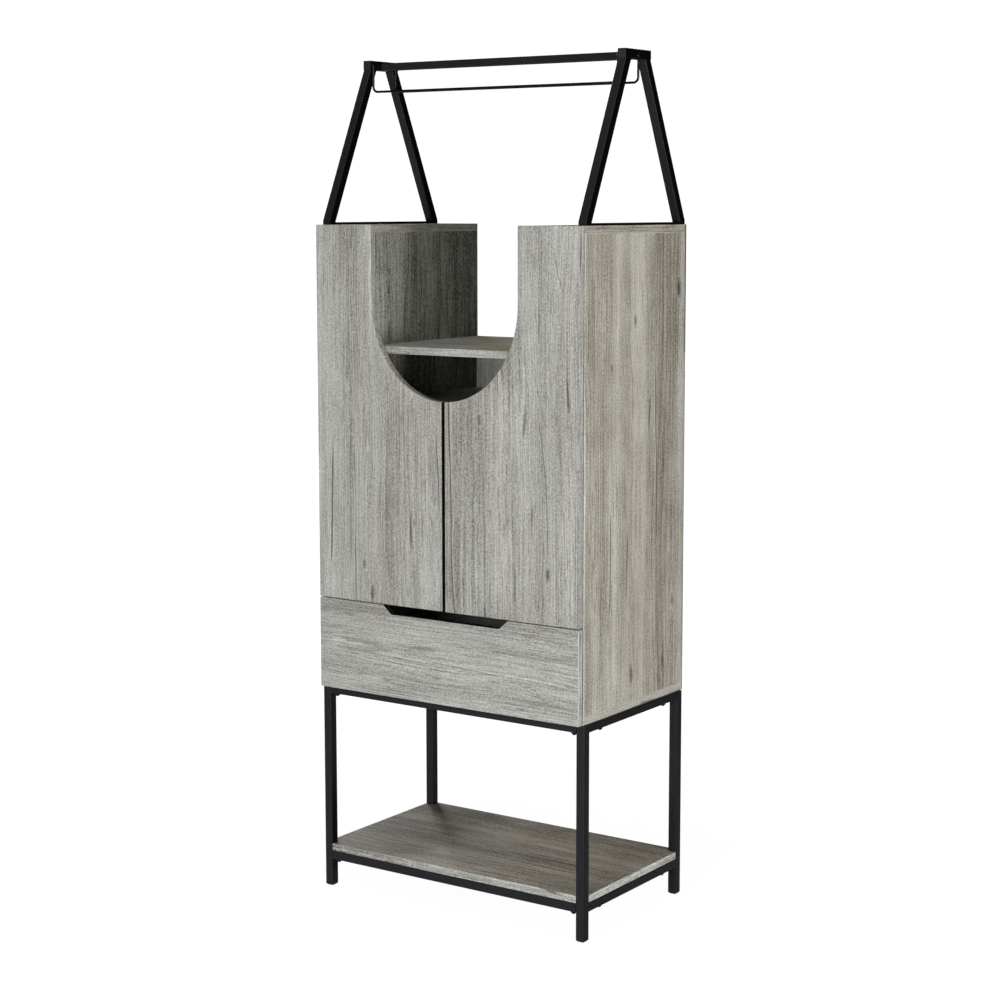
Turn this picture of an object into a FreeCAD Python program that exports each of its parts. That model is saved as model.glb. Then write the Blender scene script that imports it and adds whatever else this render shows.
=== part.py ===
import FreeCAD, Part
import math
import os

os.makedirs("parts", exist_ok=True)

V = FreeCAD.Vector

# ---------------------------------------------------------------- driving dimensions (millimetres)
# +Z up, +X to the object's right as seen from the front, the front faces -Y.
# Origin: centre of the footprint, on the floor.

FRAME_HALF_W = 340.0      # outer faces of the four legs
FRAME_Y0, FRAME_Y1 = -195.0, 201.0
TUBE = 20.0               # square tube, outside
WALL = 1.2                # tube wall
TUBE_R = 2.0              # outside corner radius of the tube
FOOT_H = 6.0              # foot cap under the leg tube
FOOT_CHAMFER = 2.8
LOW_RAIL_Z0 = 61.0        # lower rails
SHELF_Z0 = LOW_RAIL_Z0 + TUBE
BOARD = 16.0              # board thickness
CAB_Z0 = 454.5            # underside of the cabinet body, on the top rails
TOP_RAIL_H = 17.0         # the top rails are lower than they are deep
TOP_RAIL_Z0 = CAB_Z0 - TOP_RAIL_H

CAB_HALF_W = 335.0        # outer faces of the side panels
CAB_Y0, CAB_Y1 = -192.0, 206.0   # carcass, without doors and back panels
CAB_Z1 = 1461.0           # top of the cap boards
BACK_T = 4.0              # back panels, on the rear edges of the boards
WELL_HALF_W = 208.0       # inner faces of the partitions
DIVIDER_Z0 = 657.5        # board between drawer and doors, just above the seam between them
SHELF_UP_Z1 = 1207.0      # top of the shelf in the well
SHELF_DN_Z1 = 1090.0      # top of the shelf under it

DOOR_T = 16.0
DOOR_Y0, DOOR_Y1 = -210.0, -194.0
DOOR_HALF_W = 334.5
DOOR_Z0, DOOR_Z1 = 655.5, 1461.0
DOOR_GAP = 7.0            # between the two doors
U_HALF_W = 187.0          # cut-out shared by the two doors
U_RISE = 208.0            # height of the rounded part
U_Z0 = 1097.0             # lowest point of the cut-out

DRAWER_Z0, DRAWER_Z1 = 455.3, 653.5
NOTCH_TOP, NOTCH_BOT, NOTCH_D, NOTCH_R = 161.0, 140.0, 18.5, 7.0   # half widths, depth and corner radius of the finger notch
BOX_HALF_W = 306.5        # drawer box, outside
BOX_SIDE = 12.0
BOX_Z0, BOX_Z1 = 487.0, 597.0
BOX_Y1 = 180.0
SLIDE_Z = 540.0           # middle height of the drawer slides

A_Y0, A_Y1 = -185.0, 203.0       # base of each A-frame
A_TOP_Y0, A_TOP_Y1 = -40.0, 58.0 # block at its top
A_BASE_H = 5.0
A_FOOT_OVER = 2.9                # the legs' outer edges would pass the ends of the base by this much; they are cut off there
TOP_Z1 = 1815.0
BAR_H = 16.0                     # height of the top bar, level with the undersides of the blocks
A_X1 = CAB_HALF_W                # outer face of an A-frame
A_X0 = A_X1 - TUBE

ROD_D = 5.0
RODS = (("glass_rod_front", -34.0, 1747.5), ("glass_rod_rear", 45.0, 1751.0))   # name, y, centre height of the long run
ROD_BEND = 11.0

SCREW_SHANK_R = 2.2
SCREW_HEAD_R = 5.2
SCREW_HEAD_H = 3.6

nodes = {}


def box(x0, x1, y0, y1, z0, z1):
    x0, x1 = min(x0, x1), max(x0, x1)
    y0, y1 = min(y0, y1), max(y0, y1)
    z0, z1 = min(z0, z1), max(z0, z1)
    return Part.makeBox(x1 - x0, y1 - y0, z1 - z0, V(x0, y0, z0))


def cyl(r, h, p, d):
    return Part.makeCylinder(r, h, V(*p), V(*d))


def group(shapes):
    """Separate solids in one compound."""
    out = []
    for s in shapes:
        out += s.Solids
    return Part.makeCompound(out)


def mirror_x(s):
    return s.mirror(V(0, 0, 0), V(1, 0, 0))


def rounded_rect_wire(a0, a1, b0, b1, r, place):
    """Closed wire of a rounded rectangle; place maps (a, b) to a 3-D point."""
    c = r * (1 - math.sqrt(0.5))
    pts = lambda a, b: place(a, b)
    e = [
        Part.makeLine(pts(a0 + r, b0), pts(a1 - r, b0)),
        Part.Arc(pts(a1 - r, b0), pts(a1 - c, b0 + c), pts(a1, b0 + r)).toShape(),
        Part.makeLine(pts(a1, b0 + r), pts(a1, b1 - r)),
        Part.Arc(pts(a1, b1 - r), pts(a1 - c, b1 - c), pts(a1 - r, b1)).toShape(),
        Part.makeLine(pts(a1 - r, b1), pts(a0 + r, b1)),
        Part.Arc(pts(a0 + r, b1), pts(a0 + c, b1 - c), pts(a0, b1 - r)).toShape(),
        Part.makeLine(pts(a0, b1 - r), pts(a0, b0 + r)),
        Part.Arc(pts(a0, b0 + r), pts(a0 + c, b0 + c), pts(a0 + r, b0)).toShape(),
    ]
    return Part.Wire(e)


def prism(axis, a0, a1, b0, b1, l0, l1, r):
    """Rounded-rectangle bar along axis; a and b are the other two axes in X, Y, Z order."""
    if axis == "x":
        place, d = (lambda a, b: V(l0, a, b)), V(l1 - l0, 0, 0)
    elif axis == "y":
        place, d = (lambda a, b: V(a, l0, b)), V(0, l1 - l0, 0)
    else:
        place, d = (lambda a, b: V(a, b, l0)), V(0, 0, l1 - l0)
    return Part.Face(rounded_rect_wire(a0, a1, b0, b1, r, place)).extrude(d)


def tube(axis, a0, a1, b0, b1, l0, l1):
    """Hollow square tube with rounded corners."""
    a0, a1 = min(a0, a1), max(a0, a1)
    b0, b1 = min(b0, b1), max(b0, b1)
    outer = prism(axis, a0, a1, b0, b1, l0, l1, TUBE_R)
    inner = prism(axis, a0 + WALL, a1 - WALL, b0 + WALL, b1 - WALL, l0, l1, TUBE_R - WALL + 0.3)
    return outer.cut(inner)


def dome_screw(p, d, shank_len, head_r=SCREW_HEAD_R, head_h=SCREW_HEAD_H, shank_r=SCREW_SHANK_R):
    """Screw with a domed head: p is the seat under the head, d points from the head into the work.
    The head is a lens turned about the screw's axis; a hex socket is cut in it."""
    up = V(0, 0, 1)
    rim = 0.6
    prof = [
        Part.makeLine(V(0, 0, 0), V(head_r, 0, 0)),
        Part.makeLine(V(head_r, 0, 0), V(head_r, 0, -rim)),
        Part.Arc(V(head_r, 0, -rim), V(head_r * 0.72, 0, -rim - (head_h - rim) * 0.62), V(0, 0, -head_h)).toShape(),
        Part.makeLine(V(0, 0, -head_h), V(0, 0, 0)),
    ]
    head = Part.Face(Part.Wire(prof)).revolve(V(0, 0, 0), up, 360)
    if not head.isValid() or head.Volume < 0:
        head.reverse()
    hexp = [V(1.6 * math.cos(math.radians(60 * k)), 1.6 * math.sin(math.radians(60 * k)), -head_h - 1) for k in range(7)]
    sock = Part.Face(Part.makePolygon(hexp)).extrude(V(0, 0, 1 + head_h * 0.6))
    head = head.cut(sock)
    s = head.fuse(Part.makeCylinder(shank_r, shank_len, V(0, 0, 0), up)).removeSplitter()
    dv = V(*d)
    rot = FreeCAD.Rotation(up, dv)
    s.Placement = FreeCAD.Placement(V(*p), rot)
    return s


# ---------------------------------------------------------------- lower frame
LEG_X = (FRAME_HALF_W - TUBE, FRAME_HALF_W)
FY0, FY1 = (FRAME_Y0, FRAME_Y0 + TUBE), (FRAME_Y1 - TUBE, FRAME_Y1)

leg_fr = tube("z", LEG_X[0], LEG_X[1], FY0[0], FY0[1], FOOT_H, CAB_Z0)
leg_rr = tube("z", LEG_X[0], LEG_X[1], FY1[0], FY1[1], FOOT_H, CAB_Z0)
nodes["leg_front_right"] = leg_fr
nodes["leg_rear_right"] = leg_rr
nodes["leg_front_left"] = mirror_x(leg_fr)
nodes["leg_rear_left"] = mirror_x(leg_rr)

rail_screws = []
screw_xs = (-309.0, 309.0)      # in the front and rear rails
RAIL_HEAD_R, RAIL_HEAD_H = 6.5, 7.5
screw_ys = (-119.0, 137.0)      # in the side rails


def rails(z0, h, prefix, board_thickness):
    """Four rails between the legs at one level, drilled for the screws that go up into the board on them."""
    made = {}
    x_in = LEG_X[0]
    made[prefix + "_front"] = tube("x", FY0[0], FY0[1], z0, z0 + h, -x_in, x_in)
    made[prefix + "_rear"] = tube("x", FY1[0], FY1[1], z0, z0 + h, -x_in, x_in)
    made[prefix + "_right"] = tube("y", LEG_X[0], LEG_X[1], z0, z0 + h, FY0[1], FY1[0])
    made[prefix + "_left"] = mirror_x(made[prefix + "_right"])
    spots = []
    for x in screw_xs:
        spots += [(x, (FY0[0] + FY0[1]) / 2, prefix + "_front"), (x, (FY1[0] + FY1[1]) / 2, prefix + "_rear")]
    for y in screw_ys:
        xc = (LEG_X[0] + LEG_X[1]) / 2
        # the board above the side rails ends at the cabinet's side, so the screw stands a little inwards
        xs = xc - 1.0
        spots += [(xs, y, prefix + "_right"), (-xs, y, prefix + "_left")]
    for x, y, n in spots:
        made[n] = made[n].cut(cyl(SCREW_SHANK_R + 0.2, h + 2, (x, y, z0 - 1), (0, 0, 1)))
        rail_screws.append(dome_screw((x, y, z0), (0, 0, 1), h + board_thickness * 0.7, head_r=RAIL_HEAD_R, head_h=RAIL_HEAD_H))
    return made, spots


top_rails, top_spots = rails(TOP_RAIL_Z0, TOP_RAIL_H, "top_rail", BOARD)
low_rails, low_spots = rails(LOW_RAIL_Z0, TUBE, "low_rail", BOARD)
nodes.update(top_rails)
nodes.update(low_rails)
nodes["rail_screws"] = group(rail_screws)

# foot caps: a chamfered block under the tube with a plug that stands up inside it
caps = []
for sx in (-1, 1):
    for ya, yb in (FY0, FY1):
        xc, yc = sx * (LEG_X[0] + LEG_X[1]) / 2, (ya + yb) / 2
        h = TUBE / 2
        low = rounded_rect_wire(xc - h + FOOT_CHAMFER, xc + h - FOOT_CHAMFER, yc - h + FOOT_CHAMFER, yc + h - FOOT_CHAMFER, 0.9, lambda a, b: V(a, b, 0))
        high = rounded_rect_wire(xc - h, xc + h, yc - h, yc + h, TUBE_R, lambda a, b: V(a, b, FOOT_CHAMFER))
        foot = Part.makeLoft([low, high], True, True).fuse(prism("z", xc - h, xc + h, yc - h, yc + h, FOOT_CHAMFER, FOOT_H, TUBE_R))
        g = h - WALL - 0.15
        plug = prism("z", xc - g, xc + g, yc - g, yc + g, FOOT_H - 0.5, FOOT_H + 14, 0.6)
        caps.append(foot.fuse(plug).removeSplitter())
nodes["foot_caps"] = group(caps)

# lower shelf: a board notched round the legs
NOTCH = TUBE + 0.3
shelf = box(-FRAME_HALF_W, FRAME_HALF_W, FRAME_Y0, FRAME_Y1, SHELF_Z0, SHELF_Z0 + BOARD)
for sx in (-1, 1):
    for ya, yb in ((FRAME_Y0 - 1, FRAME_Y0 + NOTCH), (FRAME_Y1 - NOTCH, FRAME_Y1 + 1)):
        shelf = shelf.cut(box(sx * (FRAME_HALF_W - NOTCH), sx * (FRAME_HALF_W + 1), ya, yb, SHELF_Z0 - 1, SHELF_Z0 + BOARD + 1))
for x, y, n in low_spots:
    shelf = shelf.cut(cyl(SCREW_SHANK_R, BOARD * 0.7, (x, y, SHELF_Z0), (0, 0, 1)))
nodes["lower_shelf"] = shelf

# ---------------------------------------------------------------- cabinet boards
SIDE_X = (CAB_HALF_W - BOARD, CAB_HALF_W)
PART_X = (WELL_HALF_W, WELL_HALF_W + BOARD)
BOT_Z1 = CAB_Z0 + BOARD
CAP_Z0 = CAB_Z1 - BOARD
DIV_Z1 = DIVIDER_Z0 + BOARD

bottom_board = box(-CAB_HALF_W, CAB_HALF_W, CAB_Y0, CAB_Y1, CAB_Z0, BOT_Z1)
for x, y, n in top_spots:
    bottom_board = bottom_board.cut(cyl(SCREW_SHANK_R, BOARD * 0.7, (x, y, CAB_Z0), (0, 0, 1)))
side_r = box(SIDE_X[0], SIDE_X[1], CAB_Y0, CAB_Y1, BOT_Z1, CAP_Z0)
part_r = box(PART_X[0], PART_X[1], CAB_Y0, CAB_Y1, DIV_Z1, CAP_Z0)
cap_r = box(PART_X[0], SIDE_X[1], CAB_Y0, CAB_Y1, CAP_Z0, CAB_Z1)
divider = box(-SIDE_X[0], SIDE_X[0], CAB_Y0, CAB_Y1, DIVIDER_Z0, DIV_Z1)
shelf_up = box(-WELL_HALF_W, WELL_HALF_W, CAB_Y0, CAB_Y1, SHELF_UP_Z1 - BOARD, SHELF_UP_Z1)
shelf_dn = box(-WELL_HALF_W, WELL_HALF_W, CAB_Y0, CAB_Y1, SHELF_DN_Z1 - BOARD, SHELF_DN_Z1)

# cam fittings: a round lock in the face of one board pulls on a bolt screwed into the face of the other
CAM_R, CAM_DEPTH, CAM_FROM_EDGE = 7.5, 12.0, 30.0
BOLT_R, BOLT_HEAD_R, BOLT_IN = 2.6, 3.5, 10.0
cam_ys = (-130.0, 150.0)
cam_locks, cam_bolts = [], []


def cam_joint(holder, other, seat, into_holder, face_normal):
    """holder: board with the lock; other: board the bolt is screwed into; seat: point on their common face, at the
    middle of the holder's edge; into_holder: unit vector from the joint into the holder; face_normal: outward
    normal of the holder's face that the lock sits in. Returns both boards, drilled."""
    s, u, n = V(*seat), V(*into_holder), V(*face_normal)
    c = s + u * CAM_FROM_EDGE                       # lock axis, at mid thickness
    top = c + n * (BOARD / 2)
    base = top - n * CAM_DEPTH
    # lock: a disc with a slot for a screwdriver and a pocket that takes the bolt's head
    lock = Part.makeCylinder(CAM_R - 0.1, CAM_DEPTH - 0.3, base + n * 0.1, n)
    lock = lock.cut(Part.makeCylinder(BOLT_HEAD_R + 0.5, CAM_R + 1, c - u * (CAM_R + 1) + u * 0.0, u))
    t = n.cross(u)
    slot = Part.makeBox(10, 1.6, 2.0, V(-5, -0.8, -2.0))
    slot.Placement = FreeCAD.Placement(top - n * 0.2, FreeCAD.Rotation(u, t, n, "ZXY"))
    lock = lock.cut(slot)
    cam_locks.append(lock)
    holder = holder.cut(Part.makeCylinder(CAM_R, CAM_DEPTH, base, n))
    holder = holder.cut(Part.makeCylinder(BOLT_HEAD_R + 0.5, CAM_FROM_EDGE, s, u))
    # bolt: threaded end in the other board, thin neck, round head inside the lock
    neck = CAM_FROM_EDGE - 2.0
    bolt = Part.makeCylinder(BOLT_HEAD_R, BOLT_IN, s - u * BOLT_IN, u)
    bolt = bolt.fuse(Part.makeCylinder(BOLT_R, neck, s, u))
    bolt = bolt.fuse(Part.makeCylinder(BOLT_HEAD_R, 2.5, s + u * (neck - 2.5), u))
    cam_bolts.append(bolt.removeSplitter())
    other = other.cut(Part.makeCylinder(BOLT_HEAD_R, BOLT_IN, s - u * BOLT_IN, u))
    return holder, other


side_mid = (SIDE_X[0] + SIDE_X[1]) / 2
part_mid = (PART_X[0] + PART_X[1]) / 2
side_l, part_l, cap_l = mirror_x(side_r), mirror_x(part_r), mirror_x(cap_r)
sides, parts_, caps_ = {1: side_r, -1: side_l}, {1: part_r, -1: part_l}, {1: cap_r, -1: cap_l}
for sx in (1, -1):
    for y in cam_ys:
        # side panel and partition hang on the cap board; the locks face into the column
        sides[sx], caps_[sx] = cam_joint(sides[sx], caps_[sx], (sx * side_mid, y, CAP_Z0), (0, 0, -1), (-sx, 0, 0))
        parts_[sx], caps_[sx] = cam_joint(parts_[sx], caps_[sx], (sx * part_mid, y, CAP_Z0), (0, 0, -1), (sx, 0, 0))
        # side panel on the bottom board
        sides[sx], bottom_board = cam_joint(sides[sx], bottom_board, (sx * side_mid, y, BOT_Z1), (0, 0, 1), (-sx, 0, 0))
        # partition on the divider
        parts_[sx], divider = cam_joint(parts_[sx], divider, (sx * part_mid, y, DIV_Z1), (0, 0, 1), (sx, 0, 0))
        # divider and both shelves between the uprights, locks underneath
        divider, sides[sx] = cam_joint(divider, sides[sx], (sx * SIDE_X[0], y + 20, DIVIDER_Z0 + BOARD / 2), (-sx, 0, 0), (0, 0, -1))
        shelf_up, parts_[sx] = cam_joint(shelf_up, parts_[sx], (sx * WELL_HALF_W, y, SHELF_UP_Z1 - BOARD / 2), (-sx, 0, 0), (0, 0, -1))
        shelf_dn, parts_[sx] = cam_joint(shelf_dn, parts_[sx], (sx * WELL_HALF_W, y, SHELF_DN_Z1 - BOARD / 2), (-sx, 0, 0), (0, 0, -1))
nodes["cam_locks"] = group(cam_locks)
nodes["cam_bolts"] = group(cam_bolts)

# small shelves in the columns, each on four pins
COL_X = (PART_X[1], SIDE_X[0])
COL_SHELF_T = 12.0
N_CELLS = 5
cell = (CAP_Z0 - DIV_Z1 - (N_CELLS - 1) * COL_SHELF_T) / N_CELLS
col_shelf_z = [DIV_Z1 + cell * (k + 1) + COL_SHELF_T * k for k in range(N_CELLS - 1)]
PIN_R, PIN_OUT, PIN_IN = 2.5, 8.0, 9.0
col_shelves, pins = [], []
for sx in (1, -1):
    for z in col_shelf_z:
        col_shelves.append(box(sx * (COL_X[0] + 0.5), sx * (COL_X[1] - 0.5), CAB_Y0 + 20, CAB_Y1 - 1, z, z + COL_SHELF_T))
        for y in (-140.0, 140.0):
            zc = z - PIN_R
            for x0, d in ((COL_X[0], 1), (COL_X[1], -1)):
                a = sx * x0
                u = sx * d
                pins.append(cyl(PIN_R, PIN_OUT + PIN_IN, (a - u * PIN_IN, y, zc), (u, 0, 0)))
                drill = cyl(PIN_R, PIN_IN, (a - u * PIN_IN, y, zc), (u, 0, 0))
                if x0 == COL_X[0]:
                    parts_[sx] = parts_[sx].cut(drill)
                else:
                    sides[sx] = sides[sx].cut(drill)
nodes["column_shelves"] = group(col_shelves)
nodes["shelf_pins"] = group(pins)

# back panels on the rear edges of the boards; the well stays open behind
nodes["back_lower"] = box(-CAB_HALF_W, CAB_HALF_W, CAB_Y1, CAB_Y1 + BACK_T, CAB_Z0, SHELF_UP_Z1 - BOARD)
back_r = box(WELL_HALF_W, CAB_HALF_W, CAB_Y1, CAB_Y1 + BACK_T, SHELF_UP_Z1 - BOARD, CAB_Z1)
nodes["back_upper_right"] = back_r
nodes["back_upper_left"] = mirror_x(back_r)

# ---------------------------------------------------------------- doors
door = box(DOOR_GAP / 2, DOOR_HALF_W, DOOR_Y0, DOOR_Y1, DOOR_Z0, DOOR_Z1)
u_zc = U_Z0 + U_RISE
# half ellipse, taller than it is wide, with straight sides above it
ell = Part.Ellipse(V(0, DOOR_Y0 - 1, u_zc + U_RISE), V(U_HALF_W, DOOR_Y0 - 1, u_zc), V(0, DOOR_Y0 - 1, u_zc))
e_edge = ell.toShape()
u_face = Part.Face(Part.Wire([e_edge]))
u_cut = u_face.extrude(V(0, DOOR_T + 2, 0))
u_cut = u_cut.fuse(box(-U_HALF_W, U_HALF_W, DOOR_Y0 - 1, DOOR_Y1 + 1, u_zc, DOOR_Z1 + 60))
door = door.cut(u_cut)

# hinge cups sit in round recesses in the back of each door; arms reach into them from the side panel
CUP_R, CUP_DEPTH, CUP_FROM_EDGE = 17.5, 11.5, 21.5
hinge_zs = (DOOR_Z0 + 90.0, DOOR_Z1 - 90.0)
cup_x = DOOR_HALF_W - CUP_FROM_EDGE
cups, arms = [], []
for z in hinge_zs:
    door = door.cut(cyl(CUP_R, CUP_DEPTH, (cup_x, DOOR_Y1 - CUP_DEPTH, z), (0, 1, 0)))
    cup = cyl(CUP_R, CUP_DEPTH, (cup_x, DOOR_Y1 - CUP_DEPTH, z), (0, 1, 0))
    flange = prism("y", cup_x - 16, cup_x + 16, z - 30, z + 30, DOOR_Y1, DOOR_Y1 + 0.6, 5)
    cup = cup.fuse(flange).cut(cyl(CUP_R - 0.9, CUP_DEPTH, (cup_x, DOOR_Y1 - CUP_DEPTH + 0.9, z), (0, 1, 0)))
    cups.append(cup.removeSplitter())
    plate = prism("x", -188 , -128, z - 16, z + 16, SIDE_X[0] - 2.0, SIDE_X[0], 4)
    # the arm: a long channel over the plate and a narrow nose that ends inside the cup
    arm = prism("x", -190, -124, z - 7.5, z + 7.5, SIDE_X[0] - 13.0, SIDE_X[0] - 2.0, 2)
    arm = arm.cut(box(SIDE_X[0] - 11.5, SIDE_X[0] - 2.0, -186, -122, z - 5.5, z + 5.5))
    nose = box(cup_x - 6.5, cup_x + 3.0, -200.0, -188.0, z - 6.0, z + 6.0)
    arm = arm.fuse(nose).fuse(plate)
    arms.append(arm.removeSplitter())
nodes["door_right"] = door
nodes["door_left"] = mirror_x(door)
cups_r = group(cups)
nodes["hinge_cups_right"] = cups_r
nodes["hinge_cups_left"] = mirror_x(cups_r)
arms_r = group(arms)
nodes["hinge_arms"] = group([arms_r, mirror_x(arms_r)])

# ---------------------------------------------------------------- drawer
front = box(-DOOR_HALF_W, DOOR_HALF_W, DOOR_Y0, DOOR_Y1, DRAWER_Z0, DRAWER_Z1)
notch_pts = [
    V(-NOTCH_TOP - NOTCH_D * 0.3, DOOR_Y0 - 1, DRAWER_Z1 + 0.25 * NOTCH_D),
    V(-NOTCH_BOT, DOOR_Y0 - 1, DRAWER_Z1 - NOTCH_D),
    V(NOTCH_BOT, DOOR_Y0 - 1, DRAWER_Z1 - NOTCH_D),
    V(NOTCH_TOP + NOTCH_D * 0.3, DOOR_Y0 - 1, DRAWER_Z1 + 0.25 * NOTCH_D),
]
notch = Part.Face(Part.makePolygon(notch_pts + [notch_pts[0]])).extrude(V(0, DOOR_T + 2, 0))
notch = notch.makeFillet(NOTCH_R, [e for e in notch.Edges if e.Length > DOOR_T and abs(e.BoundBox.ZMax - (DRAWER_Z1 - NOTCH_D)) < 1e-6 and e.BoundBox.XLength < 1e-6])
front = front.cut(notch)
BOX_Y0 = DOOR_Y1
dside = box(BOX_HALF_W - BOX_SIDE, BOX_HALF_W, BOX_Y0, BOX_Y1, BOX_Z0, BOX_Z1)
dback = box(-(BOX_HALF_W - BOX_SIDE), BOX_HALF_W - BOX_SIDE, BOX_Y1 - BOX_SIDE, BOX_Y1, BOX_Z0 + 12, BOX_Z1)
GROOVE = 5.0
bot_x = BOX_HALF_W - BOX_SIDE + GROOVE
dbottom = box(-bot_x + 0.3, bot_x - 0.3, BOX_Y0, BOX_Y1, BOX_Z0 + 8, BOX_Z0 + 12)
dside = dside.cut(box(BOX_HALF_W - BOX_SIDE - 1, bot_x, BOX_Y0 - 1, BOX_Y1 + 1, BOX_Z0 + 8, BOX_Z0 + 12))
nodes["drawer_front"] = front
nodes["drawer_side_right"] = dside
nodes["drawer_side_left"] = mirror_x(dside)
nodes["drawer_back"] = dback
nodes["drawer_bottom"] = dbottom


def channel(x_web, x_lip, half_h, t, y0, y1):
    """C section along Y: web at x_web, flanges reaching to x_lip."""
    s = 1 if x_lip > x_web else -1
    web = box(x_web, x_web + s * t, y0, y1, SLIDE_Z - half_h, SLIDE_Z + half_h)
    up = box(x_web, x_lip, y0, y1, SLIDE_Z + half_h - t, SLIDE_Z + half_h)
    dn = box(x_web, x_lip, y0, y1, SLIDE_Z - half_h, SLIDE_Z - half_h + t)
    return web.fuse(up).fuse(dn).removeSplitter()


# three nested members per side: outer on the side panel, middle, inner on the drawer box
so = channel(SIDE_X[0], 309.5, 22.5, 1.2, -190, 165)
sm = channel(314.8, 309.8, 18.5, 1.2, -189, 160)
si = channel(BOX_HALF_W, 311.8, 14.0, 1.2, -190, 160)
nodes["slide_outer"] = group([so, mirror_x(so)])
nodes["slide_middle"] = group([sm, mirror_x(sm)])
nodes["slide_inner"] = group([si, mirror_x(si)])

# ---------------------------------------------------------------- A-frames on the caps
base = prism("y", A_X0, A_X1, CAB_Z1, CAB_Z1 + A_BASE_H, A_Y0, A_Y1, 1.0)
leg_z0, leg_z1 = CAB_Z1 + A_BASE_H, TOP_Z1 - TUBE


def leaning_leg(y_bottom, y_top, toward):
    """Square tube leaning in the Y-Z plane, cut level at both ends and cut off upright over the ends of the base, with
    a wall of its own there. y_bottom and y_top are the outer edges, toward is +1 when the tube's body lies on the +Y
    side of that edge."""
    run = y_top - y_bottom
    rise = leg_z1 - leg_z0
    ang = math.atan2(abs(run), rise)
    w = TUBE / math.cos(ang)
    wi = WALL / math.cos(ang)

    def bar(x0, x1, inset, r):
        ext = 40.0
        k = run / rise
        def at(z, off):
            return y_bottom + k * (z - leg_z0) + toward * off
        za, zb = leg_z0 - ext, leg_z1 + ext
        p = [V(x0, at(za, inset), za), V(x0, at(za, w - inset), za), V(x0, at(zb, w - inset), zb), V(x0, at(zb, inset), zb)]
        s = Part.Face(Part.makePolygon(p + [p[0]])).extrude(V(x1 - x0, 0, 0))
        long_edges = [e for e in s.Edges if e.Length > rise]
        return s.makeFillet(r, long_edges)

    outer = bar(A_X0, A_X1, 0, TUBE_R)
    inner = bar(A_X0 + WALL, A_X1 - WALL, wi, 0.7)
    outer = outer.common(box(A_X0 - 1, A_X1 + 1, A_Y0, A_Y1, leg_z0 - 50, leg_z1 + 50))
    inner = inner.common(box(A_X0 - 1, A_X1 + 1, A_Y0 + WALL, A_Y1 - WALL, leg_z0 - 60, leg_z1 + 60))
    leg = outer.cut(inner)
    return leg.common(box(A_X0 - 1, A_X1 + 1, -400, 400, leg_z0, leg_z1))


fleg = leaning_leg(A_Y0 - A_FOOT_OVER, A_TOP_Y0, 1)
rleg = leaning_leg(A_Y1 + A_FOOT_OVER, A_TOP_Y1, -1)
block = tube("y", A_X0, A_X1, TOP_Z1 - TUBE, TOP_Z1, A_TOP_Y0, A_TOP_Y1)

# glass rods: long level run, bent up at both ends, hooked into the inner faces of the blocks
rod_r = ROD_D / 2
rod_x = A_X0 - rod_r - 0.05
HOOK_R = 3.4
HOOK_Z = 1806.0


def glass_rod(y, ROD_Z):
    r = ROD_BEND
    k = 1 - math.sqrt(0.5)
    p = lambda x, z: V(x, y, z)
    e = [Part.makeLine(p(-(rod_x - r), ROD_Z), p(rod_x - r, ROD_Z))]
    for s in (1, -1):
        X = lambda x: s * x
        e.append(Part.Arc(p(X(rod_x - r), ROD_Z), p(X(rod_x - r * k), ROD_Z + r * k), p(X(rod_x), ROD_Z + r)).toShape())
        e.append(Part.makeLine(p(X(rod_x), ROD_Z + r), p(X(rod_x), HOOK_Z - HOOK_R)))
        e.append(Part.Arc(p(X(rod_x), HOOK_Z - HOOK_R), p(X(rod_x + HOOK_R * k), HOOK_Z - HOOK_R * k), p(X(rod_x + HOOK_R), HOOK_Z)).toShape())
        e.append(Part.makeLine(p(X(rod_x + HOOK_R), HOOK_Z), p(X(rod_x + HOOK_R + 4.5), HOOK_Z)))
    wire = Part.Wire(Part.__sortEdges__(e))
    start = p(-(rod_x + HOOK_R + 4.5), HOOK_Z)
    prof = Part.Wire([Part.makeCircle(rod_r, start, V(1, 0, 0))])
    s = wire.makePipeShell([prof], True, True)
    return s


for n, y, z_run in RODS:
    nodes[n] = glass_rod(y, z_run)
    block = block.cut(cyl(rod_r + 0.7, WALL + 2, (A_X0 - 1, y, HOOK_Z - 0.15), (1, 0, 0)))

# top bar between the blocks, with a drilled plate in each end for its bolt
BAR_Y0 = (A_TOP_Y0 + A_TOP_Y1) / 2 - TUBE / 2
bar = tube("x", BAR_Y0, BAR_Y0 + TUBE, TOP_Z1 - TUBE, TOP_Z1 - TUBE + BAR_H, -A_X0, A_X0)
bar_c = (BAR_Y0 + TUBE / 2, TOP_Z1 - TUBE + BAR_H / 2)
for sx in (1, -1):
    g, gz = TUBE / 2 - WALL, BAR_H / 2 - WALL
    bar = bar.fuse(box(sx * (A_X0 - 8), sx * A_X0, bar_c[0] - g, bar_c[0] + g, bar_c[1] - gz, bar_c[1] + gz))
bar = bar.removeSplitter()
bolts = []
BAR_BOLT_R = 2.5
for sx in (1, -1):
    bar = bar.cut(cyl(BAR_BOLT_R, 10, (sx * (A_X0 + 1), bar_c[0], bar_c[1]), (-sx, 0, 0)))
    bolts.append(dome_screw((sx * A_X1, bar_c[0], bar_c[1]), (-sx, 0, 0), TUBE + 12, head_r=4.5, head_h=2.2, shank_r=BAR_BOLT_R))
block = block.cut(cyl(BAR_BOLT_R + 0.15, TUBE + 4, (A_X0 - 2, bar_c[0], bar_c[1]), (1, 0, 0)))
nodes["top_bar"] = bar
nodes["bar_bolts"] = group(bolts)

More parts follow.
